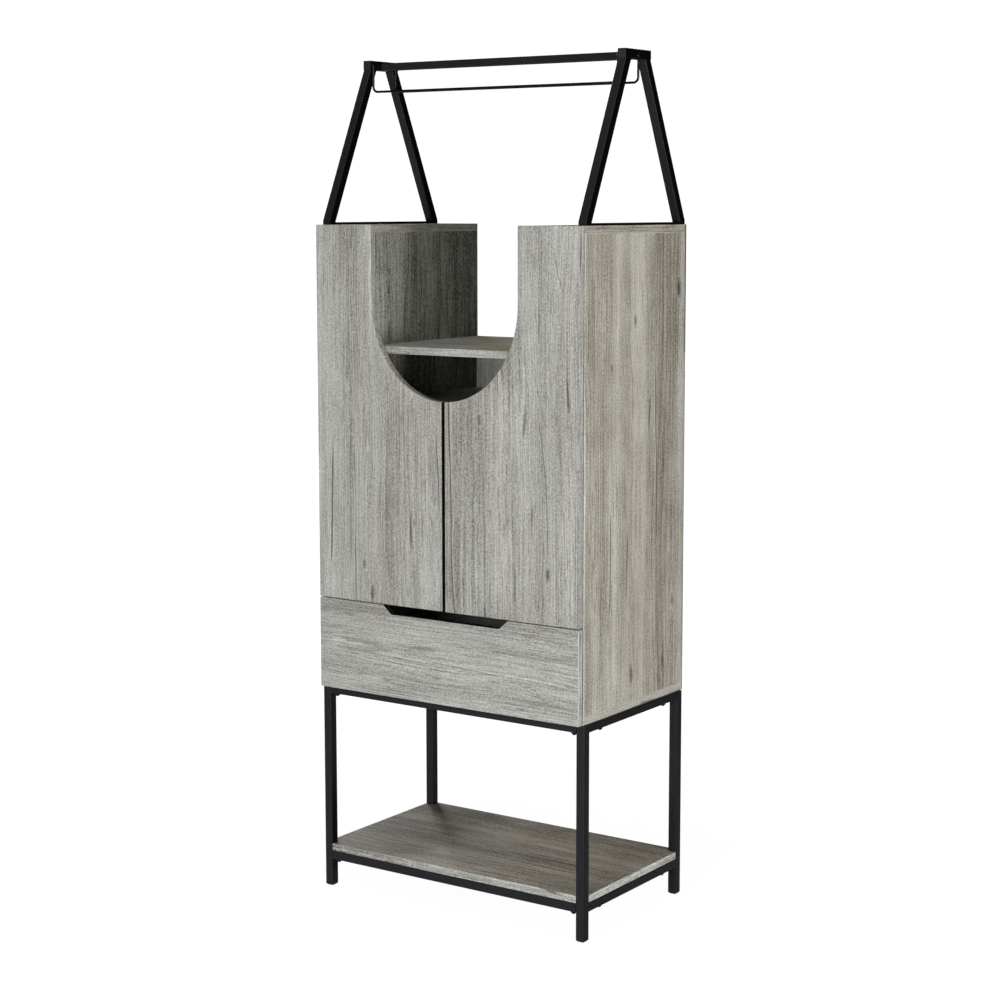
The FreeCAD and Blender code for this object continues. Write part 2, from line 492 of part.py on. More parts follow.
# plastic plugs in the open ends of the blocks
plugs = []
for y0, d in ((A_TOP_Y0, 1), (A_TOP_Y1, -1)):
    g0 = WALL + 0.15
    pl = prism("y", A_X0 + g0, A_X1 - g0, TOP_Z1 - TUBE + g0, TOP_Z1 - g0, y0, y0 + d * 3, 0.6)
    plugs.append(pl)
plug_r = group(plugs)
nodes["block_plugs"] = group([plug_r, mirror_x(plug_r)])

# countersunk screws through the base bar into the cap board and the side panel under it
CSK_R, CSK_H, CSK_LEN = 4.4, 2.4, 33.0
csk_x = (A_X0 + A_X1) / 2
a_screws = []
for y in (-100.0, 118.0):
    top_z = CAB_Z1 + A_BASE_H
    cone = Part.makeCone(SCREW_SHANK_R, CSK_R, CSK_H, V(csk_x, y, top_z - CSK_H))
    shank = cyl(SCREW_SHANK_R, CSK_LEN, (csk_x, y, top_z - CSK_LEN), (0, 0, 1))
    body = cone.fuse(shank).removeSplitter()
    cross = box(csk_x - 2.4, csk_x + 2.4, y - 0.5, y + 0.5, top_z - 1.4, top_z + 1)
    cross = cross.fuse(box(csk_x - 0.5, csk_x + 0.5, y - 2.4, y + 2.4, top_z - 1.4, top_z + 1))
    a_screws.append(body.cut(cross))
    base = base.cut(body)
    for sx in (1, -1):
        tool = body if sx == 1 else mirror_x(body)
        caps_[sx] = caps_[sx].cut(tool)
        sides[sx] = sides[sx].cut(tool)
a_screws_r = group(a_screws)
nodes["a_frame_screws"] = group([a_screws_r, mirror_x(a_screws_r)])

nodes["a_frame_right_base"] = base
nodes["a_frame_left_base"] = mirror_x(base)
nodes["a_frame_right_front_leg"] = fleg
nodes["a_frame_right_rear_leg"] = rleg
nodes["a_frame_right_block"] = block
nodes["a_frame_left_front_leg"] = mirror_x(fleg)
nodes["a_frame_left_rear_leg"] = mirror_x(rleg)
nodes["a_frame_left_block"] = mirror_x(block)

for sx in (1, -1):
    tag = "right" if sx == 1 else "left"
    nodes["side_panel_" + tag] = sides[sx]
    nodes["partition_" + tag] = parts_[sx]
    nodes["cap_board_" + tag] = caps_[sx]
nodes["bottom_board"] = bottom_board
nodes["divider_board"] = divider
nodes["well_shelf"] = shelf_up
nodes["niche_shelf"] = shelf_dn

for name, s in nodes.items():
    if not s.Solids:
        raise SystemExit("no solid in " + name)
    if not s.isValid():
        print("not valid:", name)
    s.exportStep("parts/" + name + ".step")
print(len(nodes), "nodes", sum(len(s.Solids) for s in nodes.values()), "solids")
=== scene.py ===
import math

import bpy
from mathutils import Matrix, Vector

# Tall cabinet in grey washed wood on a black square-tube frame, with an A-frame rack on top.
# Metres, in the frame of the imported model: front faces -Y, right is +X, Z is up, feet at Z 0.

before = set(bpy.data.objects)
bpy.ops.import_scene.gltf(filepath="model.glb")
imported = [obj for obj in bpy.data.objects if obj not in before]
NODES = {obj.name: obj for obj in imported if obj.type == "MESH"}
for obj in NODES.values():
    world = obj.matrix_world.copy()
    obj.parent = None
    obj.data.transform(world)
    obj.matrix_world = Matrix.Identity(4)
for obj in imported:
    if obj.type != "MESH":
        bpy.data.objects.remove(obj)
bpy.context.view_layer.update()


# ---------------------------------------------------------------- node helpers
def is_socket(v):
    return isinstance(v, bpy.types.NodeSocket)


class Tree:
    """Small builder for a material's nodes. Values may be sockets or plain numbers."""

    def __init__(self, name):
        self.mat = bpy.data.materials.new(name)
        self.mat.use_nodes = True
        self.nt = self.mat.node_tree
        self.nt.nodes.clear()
        self.tex = None

    def new(self, kind, **props):
        n = self.nt.nodes.new(kind)
        for k, v in props.items():
            setattr(n, k, v)
        return n

    def put(self, socket, value):
        if is_socket(value):
            self.nt.links.new(value, socket)
        else:
            socket.default_value = value

    def m(self, op, a, b=0.0, c=0.0, clamp=False):
        n = self.new("ShaderNodeMath", operation=op, use_clamp=clamp)
        for i, v in enumerate((a, b, c)):
            if i < len(n.inputs):
                self.put(n.inputs[i], v)
        return n.outputs[0]

    def add(self, a, b):
        return self.m("ADD", a, b)

    def sub(self, a, b):
        return self.m("SUBTRACT", a, b)

    def mul(self, a, b):
        return self.m("MULTIPLY", a, b)

    def mad(self, a, b, c):
        return self.m("MULTIPLY_ADD", a, b, c)

    def v(self, op, a, b=(0, 0, 0), c=(0, 0, 0)):
        n = self.new("ShaderNodeVectorMath", operation=op)
        for i, value in enumerate((a, b, c)):
            if i < len(n.inputs):
                self.put(n.inputs[i], value)
        return n.outputs["Value"] if op in ("LENGTH", "DOT_PRODUCT", "DISTANCE") else n.outputs["Vector"]

    def coords(self, which="Object"):
        if self.tex is None:
            self.tex = self.new("ShaderNodeTexCoord")
        return self.tex.outputs[which]

    def split(self, vec):
        n = self.new("ShaderNodeSeparateXYZ")
        self.put(n.inputs[0], vec)
        return n.outputs[0], n.outputs[1], n.outputs[2]

    def join(self, x, y, z):
        n = self.new("ShaderNodeCombineXYZ")
        for s, value in zip(n.inputs, (x, y, z)):
            self.put(s, value)
        return n.outputs[0]

    def noise(self, vec, scale, detail=2.0, rough=0.5, shift=(0, 0, 0), distortion=0.0):
        at = self.v("MULTIPLY_ADD", vec, scale, shift)
        n = self.new("ShaderNodeTexNoise", noise_dimensions="3D")
        self.put(n.inputs["Vector"], at)
        n.inputs["Scale"].default_value = 1.0
        n.inputs["Detail"].default_value = detail
        n.inputs["Roughness"].default_value = rough
        n.inputs["Distortion"].default_value = distortion
        return n.outputs[0]

    def step(self, value, low, high, out_low=0.0, out_high=1.0):
        n = self.new("ShaderNodeMapRange", interpolation_type="SMOOTHSTEP", clamp=True)
        self.put(n.inputs["Value"], value)
        n.inputs["From Min"].default_value = low
        n.inputs["From Max"].default_value = high
        n.inputs["To Min"].default_value = out_low
        n.inputs["To Max"].default_value = out_high
        return n.outputs["Result"]

    def mix(self, fac, a, b, blend="MIX"):
        n = self.new("ShaderNodeMix", data_type="RGBA", blend_type=blend)
        n.clamp_factor = True
        self.put(n.inputs[0], fac)
        self.put(n.inputs[6], a if is_socket(a) else (*a, 1.0))
        self.put(n.inputs[7], b if is_socket(b) else (*b, 1.0))
        return n.outputs[2]

    def mixv(self, fac, a, b):
        n = self.new("ShaderNodeMix", data_type="VECTOR")
        self.put(n.inputs[0], fac)
        self.put(n.inputs[4], a)
        self.put(n.inputs[5], b)
        return n.outputs[1]

    def ramp(self, fac, stops):
        n = self.new("ShaderNodeValToRGB")
        e = n.color_ramp.elements
        e[0].position, e[0].color = stops[0][0], (*stops[0][1], 1)
        e[1].position, e[1].color = stops[-1][0], (*stops[-1][1], 1)
        for p, c in stops[1:-1]:
            s = e.new(p)
            s.color = (*c, 1)
        self.put(n.inputs[0], fac)
        return n.outputs[0]

    def bump(self, height, strength, distance):
        n = self.new("ShaderNodeBump")
        n.inputs["Strength"].default_value = strength
        n.inputs["Distance"].default_value = distance
        self.put(n.inputs["Height"], height)
        return n.outputs["Normal"]

    def surface(self, colour, rough, normal=None, **fixed):
        b = self.new("ShaderNodeBsdfPrincipled")
        self.put(b.inputs["Base Color"], colour if is_socket(colour) else (*colour, 1.0))
        self.put(b.inputs["Roughness"], rough)
        if normal is not None:
            self.put(b.inputs["Normal"], normal)
        for k, value in fixed.items():
            b.inputs[k.replace("_", " ")].default_value = value
        out = self.new("ShaderNodeOutputMaterial")
        self.nt.links.new(b.outputs[0], out.inputs[0])
        return self.mat


def srgb(r, g, b):
    def one(k):
        k /= 255.0
        return k / 12.92 if k <= 0.04045 else ((k + 0.055) / 1.055) ** 2.4
    return (one(r), one(g), one(b))


# ---------------------------------------------------------------- grey washed wood
GREY = [(0.0, srgb(72, 68, 62)), (0.22, srgb(119, 116, 110)), (0.50, srgb(161, 160.5, 155)), (0.75, srgb(188, 189.5, 185)), (1.0, srgb(216, 218, 214))]
BROWN = [(0.0, srgb(66, 58, 47)), (0.22, srgb(116, 109, 97)), (0.50, srgb(162, 158, 149)), (0.75, srgb(188, 187, 181)), (1.0, srgb(214, 214, 209))]
CRACK = srgb(70, 66, 60)
KNOT = srgb(52, 47, 41)
# layers of the print: noise scale along and across the grain (per metre), weight, detail. The first group is the broad figure, the
# second the fibres and the speckle
FIGURE = ((0.6, 6.5, 0.38, 0), (1.0, 14.0, 0.10, 0), (1.5, 27.0, 0.22, 0), (3.0, 38.0, 0.11, 0), (10.0, 19.0, 0.13, 0), (24.0, 40.0, 0.05, 0))
FIBRES = ((5.0, 125.0, 0.05, 0), (9.0, 230.0, 0.08, 0), (2.6, 400.0, 0.44, 0), (26.0, 430.0, 0.26, 0), (220.0, 290.0, 0.42, 0), (330.0, 460.0, 0.34, 0))


def polyline(t, g, points):
    """Across-grain position of a line through (along, across) points."""
    c = points[0][1]
    for (g0, c0), (g1, c1) in zip(points, points[1:]):
        n = t.new("ShaderNodeMapRange", clamp=True)
        t.put(n.inputs["Value"], g)
        n.inputs["From Min"].default_value, n.inputs["From Max"].default_value = g0, g1
        n.inputs["To Min"].default_value, n.inputs["To Max"].default_value = 0.0, c1 - c0
        c = t.add(n.outputs["Result"], c)
    return c


def wood(name, along, across, depth, seed, tones=GREY, warm=0.3, blotch=0.1, rings=0.10, broad=0.03, threads=0.05, pores=0.34, cracks=0.7,
         fine=1.0, coarse=1.0,
         knots=(), bands=(), zones=(), lines=(), rims=(), tint=(1.0, 1.0, 1.0), tint_span=None, banding=False, edge=0.0, flank=0.0, front=0.0, face=0.0, inner=0.0, gap_shade=False, pull=False, light=0.0):
    """Printed wood-grain foil on a board. along, across and depth are the board's axes; the narrow faces at the ends of the
    grain carry banding whose grain runs across. In metres: knots are (along, across, radius, strength), bands (across, half width,
    tone, from, to), lines (points, half width, strength), rims (across, half width, tone), zones (from, to, tone) along the grain. tint colours the broad faces, over
    tint_span along the grain where that is given; banding makes the narrow faces plain grey. edge lifts the tone of the narrow faces, face that of the broad ones, flank
    that of the outer upright edges front that of the edges that look to the front and inner
    that of everything but the outer upright edges."""
    t = Tree(name)
    x, y, z = t.split(t.coords())
    nx, ny, nz = t.split(t.coords("Normal"))
    at, facing = {"x": x, "y": y, "z": z}, {"x": nx, "y": ny, "z": nz}
    g, c, d = at[along], at[across], at[depth]
    at_end = t.m("GREATER_THAN", t.m("ABSOLUTE", facing[along]), 0.7)
    narrow = t.m("LESS_THAN", t.m("ABSOLUTE", facing[depth]), 0.7)
    p = t.mixv(at_end, t.join(g, c, d), t.join(c, d, g))
    p = t.v("ADD", p, seed)
    pg, pc, pd = t.split(p)

    # slow wander of the grain, then the push of each knot on the lines round it
    wander = t.sub(t.noise(p, (0.9, 4.5, 4.5), 1.0), 0.5)
    shiver = t.sub(t.noise(p, (9.0, 60.0, 60.0), 1.0, shift=(3, 1, 7)), 0.5)
    meander = t.sub(t.noise(p, (3.0, 11.0, 11.0), 1.0, shift=(8, 5, 2)), 0.5)
    line = t.mad(wander, 0.040, pc)
    line = t.mad(meander, 0.016, line)
    line = t.mad(shiver, 0.0030, line)
    knot_dark = None
    for kg, kc, kr, ks in knots:
        a = t.mul(t.sub(g, kg), 1.0 / (kr * 2.6))
        b = t.mul(t.sub(c, kc), 1.0 / kr)
        dist = t.m("SQRT", t.add(t.mul(a, a), t.mul(b, b)))
        push = t.m("EXPONENT", t.mul(t.mul(dist, dist), -0.20))
        side = t.m("TANH", t.mul(b, 0.8))
        line = t.mad(t.mul(push, side), -kr * 1.2, line)
        heart = t.step(t.add(dist, t.mul(shiver, 2.4)), 0.20, 1.5, ks, 0.0)
        knot_dark = heart if knot_dark is None else t.m("MAXIMUM", knot_dark, heart)
    q = t.join(pg, line, pd)

    tone = 0.5
    made = []
    for k, (sg, sc, weight, detail) in enumerate(FIGURE + FIBRES):
        n = t.sub(t.noise(q, (sg, sc, sc), float(detail), 0.55, (5 * k, 9 + 3 * k, 1 + 7 * k)), 0.5)
        made.append(n)
        tone = t.mad(n, weight * (coarse if k < len(FIGURE) else fine), tone)
    streak, fibre = made[6], made[7]

    # long thin lines where the fibres run close together
    thread = t.noise(q, (1.2, 62.0, 62.0), 0.0, 0.5, (2, 19, 8))
    thread = t.step(t.m("ABSOLUTE", t.sub(thread, 0.5)), 0.012, 0.055, 1.0, 0.0)
    thread = t.mul(thread, t.step(t.noise(q, (4.5, 18.0, 18.0), 1.0, 0.5, (40, 4, 6)), 0.42, 0.66))
    tone = t.mad(thread, -threads, tone)

    # growth rings: a sawtooth that darkens slowly and ends sharply, bent into long arches by a slow noise
    arch = t.noise(q, (0.55, 4.2, 4.2), 1.5, 0.5, (7, 7, 2))
    field = t.m("FRACT", t.add(t.mul(line, 88.0), t.mul(arch, 24.0)))
    ring = t.sub(t.step(field, 0.30, 0.92), t.step(field, 0.94, 1.0))
    ring = t.mul(ring, t.step(t.noise(p, (0.9, 8.0, 8.0), 1.0, 0.5, (31, 2, 9)), 0.46, 0.62))
    tone = t.mad(ring, -rings, tone)
    wide = t.m("FRACT", t.add(t.mul(line, 25.0), t.mul(arch, 9.0)))
    wide = t.sub(t.step(wide, 0.05, 0.90), t.step(wide, 0.93, 1.0))
    tone = t.mad(t.sub(wide, 0.4), -broad, tone)

    # dark and light bands that run for some way along the grain; the wide dark ones on the rear of the left partition
    # and over the left end of the lower shelf are painted shade
    for bc, half, change, g0, g1 in bands:
        k = t.mul(t.sub(t.mad(wander, 0.03, t.mad(shiver, 0.004, c)), bc), 1.0 / half)
        reach = t.mul(t.step(g, g0 - 0.05, g0 + 0.05), t.step(g, g1 - 0.05, g1 + 0.05, 1.0, 0.0))
        tone = t.mad(t.mul(t.m("EXPONENT", t.mul(t.mul(k, k), -1.0)), reach), change, tone)
    # a line of lighter or darker tone at a set place across the grain; the lighter one just behind the side panels'
    # front edge is a painted highlight
    for rc, half, change in rims:
        k = t.step(t.m("ABSOLUTE", t.sub(c, rc)), half * 0.6, half, 1.0, 0.0)
        tone = t.mad(k, change, tone)
    # zones of lighter or darker tone along the grain; the one on the left partition under the well shelf is painted
    # shade
    for g0, g1, change in zones:
        tone = t.mad(t.mul(t.m("GREATER_THAN", g, g0), t.m("LESS_THAN", g, g1)), change, tone)
    # tone lifts by facing: on the doors the narrow faces are darkened as painted shade and the outer upright ones
    # lifted again as painted light, on the drawer front the outer upright ends are lifted as painted light, on the
    # niche and lower shelves the broad faces are darkened as painted shade and the lower shelf's edges lifted as
    # painted light
    lift = t.m("MULTIPLY_ADD", narrow, edge - face, face + light)
    if flank:
        outer = t.mul(t.m("GREATER_THAN", t.m("ABSOLUTE", nx), 0.7), t.m("GREATER_THAN", t.m("ABSOLUTE", x), 0.325))
        lift = t.mad(outer, flank, lift)
    # on the side panels the faces that look to the front are darkened as painted shade of the narrow space behind the
    # doors
    if front:
        lift = t.mad(t.m("LESS_THAN", ny, -0.7), front, lift)
    if inner:
        lift = t.mad(t.m("LESS_THAN", t.m("ABSOLUTE", x), 0.325), inner, lift)

    # splits in the grain, dark on one side and lit on the other
    split = t.sub(t.noise(q, (1.3, 30.0, 30.0), 0.0, 0.5, (9, 3, 14)), 0.5)
    where = t.step(t.noise(q, (3.2, 22.0, 22.0), 1.0, 0.5, (4, 41, 2)), 0.600, 0.655)
    lit = t.mul(t.mul(t.step(split, 0.030, 0.045), t.step(split, 0.065, 0.090, 1.0, 0.0)), where)
    split = t.mul(t.step(t.m("ABSOLUTE", split), 0.010, 0.034, 1.0, 0.0), where)
    lift = t.mad(lit, 0.09, lift)
    colour = t.ramp(t.add(tone, lift), tones)
    if banding:
        colour = t.mix(narrow, colour, t.ramp(t.add(tone, lift), GREY))

    # brownish stain in long patches, dirt caught in the deeper grain
    stain = t.step(t.noise(q, (1.3, 17.0, 17.0), 2.0, 0.6, (23, 5, 1)), 0.44, 0.66)
    stain = t.mul(stain, t.mad(narrow, -0.8, 1.0))
    colour = t.mix(t.mul(stain, warm), colour, srgb(233, 222, 211), "MULTIPLY")
    patch = t.step(t.noise(q, (2.2, 20.0, 20.0), 3.0, 0.62, (1, 33, 6)), 0.56, 0.74)
    patch = t.mul(t.mul(patch, t.step(t.add(streak, fibre), -0.30, 0.20, 1.0, 0.4)), t.mad(narrow, -0.8, 1.0))
    colour = t.mix(t.mul(patch, blotch), colour, srgb(164, 154, 137), "MULTIPLY")

    colour = t.mix(t.mul(split, cracks), colour, CRACK)

    # short pores
    pore = t.step(t.noise(q, (30.0, 330.0, 330.0), 0.0, 0.5, (6, 6, 6)), 0.60, 0.74)
    pore = t.mul(pore, t.step(t.noise(q, (3.5, 26.0, 26.0), 1.0, 0.5, (13, 2, 8)), 0.38, 0.60))
    colour = t.mix(t.mul(pore, pores), colour, CRACK)
    for points, half, strength in lines:
        off = t.m("ABSOLUTE", t.sub(t.mad(shiver, 0.005, c), polyline(t, g, points)))
        k = t.step(off, half * 0.3, half, strength, 0.0)
        lo, hi = min(points[0][0], points[-1][0]), max(points[0][0], points[-1][0])
        k = t.mul(k, t.mul(t.step(g, lo - 0.01, lo + 0.02), t.step(g, hi - 0.02, hi + 0.01, 1.0, 0.0)))
        k = t.mul(k, t.mad(fibre, 1.2, 0.9))
        colour = t.mix(k, colour, CRACK)
    if knot_dark is not None:
        colour = t.mix(knot_dark, colour, KNOT)
    if tint != (1.0, 1.0, 1.0):
        share = t.sub(1.0, narrow)
        if tint_span:
            share = t.mul(share, t.step(t.mad(c, 0.69, g), tint_span[0], tint_span[1]))
        colour = t.mix(share, colour, tint, "MULTIPLY")
    if gap_shade:
        # painted shade: the two edges that meet in the middle are coloured near black, as shade in the narrow space
        # between the doors
        inner = t.mul(t.m("GREATER_THAN", t.m("ABSOLUTE", nx), 0.7), t.m("LESS_THAN", t.m("ABSOLUTE", x), 0.012))
        colour = t.mix(inner, colour, (0.004, 0.004, 0.004))
    if pull:
        # the faces of the finger notch are coloured near black too
        inner = t.mul(t.mul(narrow, t.m("LESS_THAN", t.m("ABSOLUTE", x), 0.163)), t.m("GREATER_THAN", z, 0.630))
        colour = t.mix(inner, colour, (0.006, 0.006, 0.006))

    height = t.mad(fibre, 0.9, t.mul(streak, 0.8))
    height = t.mad(pore, -0.55, height)
    height = t.mad(split, -0.6, height)
    height = t.mad(ring, -0.12, height)
    rough = t.mad(streak, 0.25, 0.56)
    rough = t.mad(pore, 0.12, rough)
    return t.surface(colour, rough, t.bump(height, 0.30, 0.0005), IOR=1.47, Specular_IOR_Level=0.30)


# ---------------------------------------------------------------- metal, plastic, board backs
def powder_coat(name, base=(0.0052, 0.0054, 0.0064), painted_light_front=(0.0140, 0.0142, 0.0172), painted_shade_side=(0.0012, 0.0012, 0.0014), rough=0.30):
    """Black powder coat, with painted light on the faces turned to the front and back and painted shade on the faces
    turned sideways.
    """
    t = Tree(name)
    nx, ny, nz = t.split(t.coords("Normal"))
    ny, nx = t.m("ABSOLUTE", ny), t.m("ABSOLUTE", nx)
    base = t.mix(t.step(ny, 0.3, 0.9), base, painted_light_front)
    base = t.mix(t.step(nx, 0.3, 0.9), base, painted_shade_side)
    p = t.coords()
    pebble = t.sub(t.noise(p, (900, 900, 900), 2.0, 0.55), 0.5)
    haze = t.sub(t.noise(p, (9, 9, 9), 3.0, 0.5, (4, 4, 4)), 0.5)
    dust = t.step(t.noise(p, (260, 260, 260), 3.0, 0.6, (8, 1, 3)), 0.60, 0.78)
    colour = t.mix(t.mul(dust, 0.16), base, (0.055, 0.055, 0.058))
    r = t.mad(haze, 0.16, rough)
    r = t.mad(pebble, 0.14, r)
    height = t.mad(haze, 0.5, pebble)
    return t.surface(colour, r, t.bump(height, 0.20, 0.00015), IOR=1.5, Specular_IOR_Level=0.27)


def moulded_plastic(name):
    t = Tree(name)
    p = t.coords()
    grain = t.sub(t.noise(p, (1400, 1400, 1400), 2.0, 0.6), 0.5)
    scuff = t.step(t.noise(p, (120, 120, 420), 3.0, 0.6, (2, 2, 9)), 0.62, 0.80)
    colour = t.mix(t.mul(scuff, 0.35), (0.012, 0.012, 0.013), (0.045, 0.045, 0.046))
    r = t.mad(grain, 0.18, 0.56)
    return t.surface(colour, r, t.bump(grain, 0.25, 0.0001), IOR=1.49, Specular_IOR_Level=0.35)


def zinc(name):
    t = Tree(name)
    p = t.coords()
    cloud = t.noise(p, (55, 55, 55), 3.0, 0.55)
    brush = t.noise(p, (30, 1500, 1500), 2.0, 0.6)
    colour = t.ramp(cloud, [(0.25, (0.40, 0.41, 0.43)), (0.75, (0.62, 0.63, 0.65))])
    r = t.mad(brush, 0.22, 0.24)
    return t.surface(colour, r, t.bump(brush, 0.15, 0.0001), Metallic=1.0)


def back_board(name, seed, face_axis, sign, along, across, seams=(), dark_edge=False):
    """Thin fibreboard: the face that looks into the cabinet has the wood print, the other is bare brown board, the edges are grey or black.
    seams are (along) positions of joints between panels, where the bare face is dark."""
    t = Tree(name)
    x, y, z = t.split(t.coords())
    at = {"x": x, "y": y, "z": z}
    n = dict(zip("xyz", t.split(t.coords("Normal"))))
    g, c = at[along], at[across]
    p = t.v("ADD", t.join(g, c, at[face_axis]), seed)
    wander = t.sub(t.noise(p, (0.9, 4.5, 4.5), 1.0), 0.5)
    pg, pc, pd = t.split(p)
    line = t.mad(wander, 0.040, pc)
    q = t.join(pg, line, pd)
    tone = 0.5
    for k, (sg, sc, weight, detail) in enumerate(FIGURE + FIBRES):
        fibre = t.sub(t.noise(q, (sg, sc, sc), float(detail), 0.55, (5 * k, 9 + 3 * k, 1 + 7 * k)), 0.5)
        tone = t.mad(fibre, weight, tone)
    printed = t.ramp(t.add(tone, 0.36), GREY)
    speck = t.noise(t.coords(), (420, 420, 420), 4.0, 0.65)
    cloud = t.noise(t.coords(), (14, 14, 14), 3.0, 0.5)
    fleck = t.noise(t.v("MULTIPLY", t.coords(), (95, 95, 160)), (1, 1, 1), 3.0, 0.7, (5, 2, 11))
    bare = t.ramp(t.mad(speck, 0.35, t.mad(fleck, 0.4, t.mul(cloud, 0.25))), [(0.36, (0.15, 0.103, 0.062)), (0.64, (0.40, 0.295, 0.195))])
    for at_seam in seams:
        near = t.step(t.m("ABSOLUTE", t.sub(g, at_seam)), 0.0006, 0.0016, 1.0, 0.0)
        bare = t.mix(near, bare, (0.02, 0.014, 0.009))
    grey_edge = t.ramp(speck, [(0.3, (0.17, 0.155, 0.135)), (0.7, (0.29, 0.275, 0.245))])
    inward = t.m("GREATER_THAN", t.mul(n[face_axis], sign), 0.5)
    outward = t.m("GREATER_THAN", t.mul(n[face_axis], -sign), 0.5)
    if dark_edge:
        grey_edge = t.mix(speck, (0.004, 0.004, 0.004), (0.010, 0.009, 0.008))
    colour = t.mix(inward, t.mix(outward, grey_edge, bare), printed)
    height = t.mad(speck, 0.6, t.mul(fibre, 0.6))
    r = t.mad(speck, 0.2, 0.55)
    return t.surface(colour, r, t.bump(height, 0.25, 0.0003), IOR=1.45, Specular_IOR_Level=0.3)


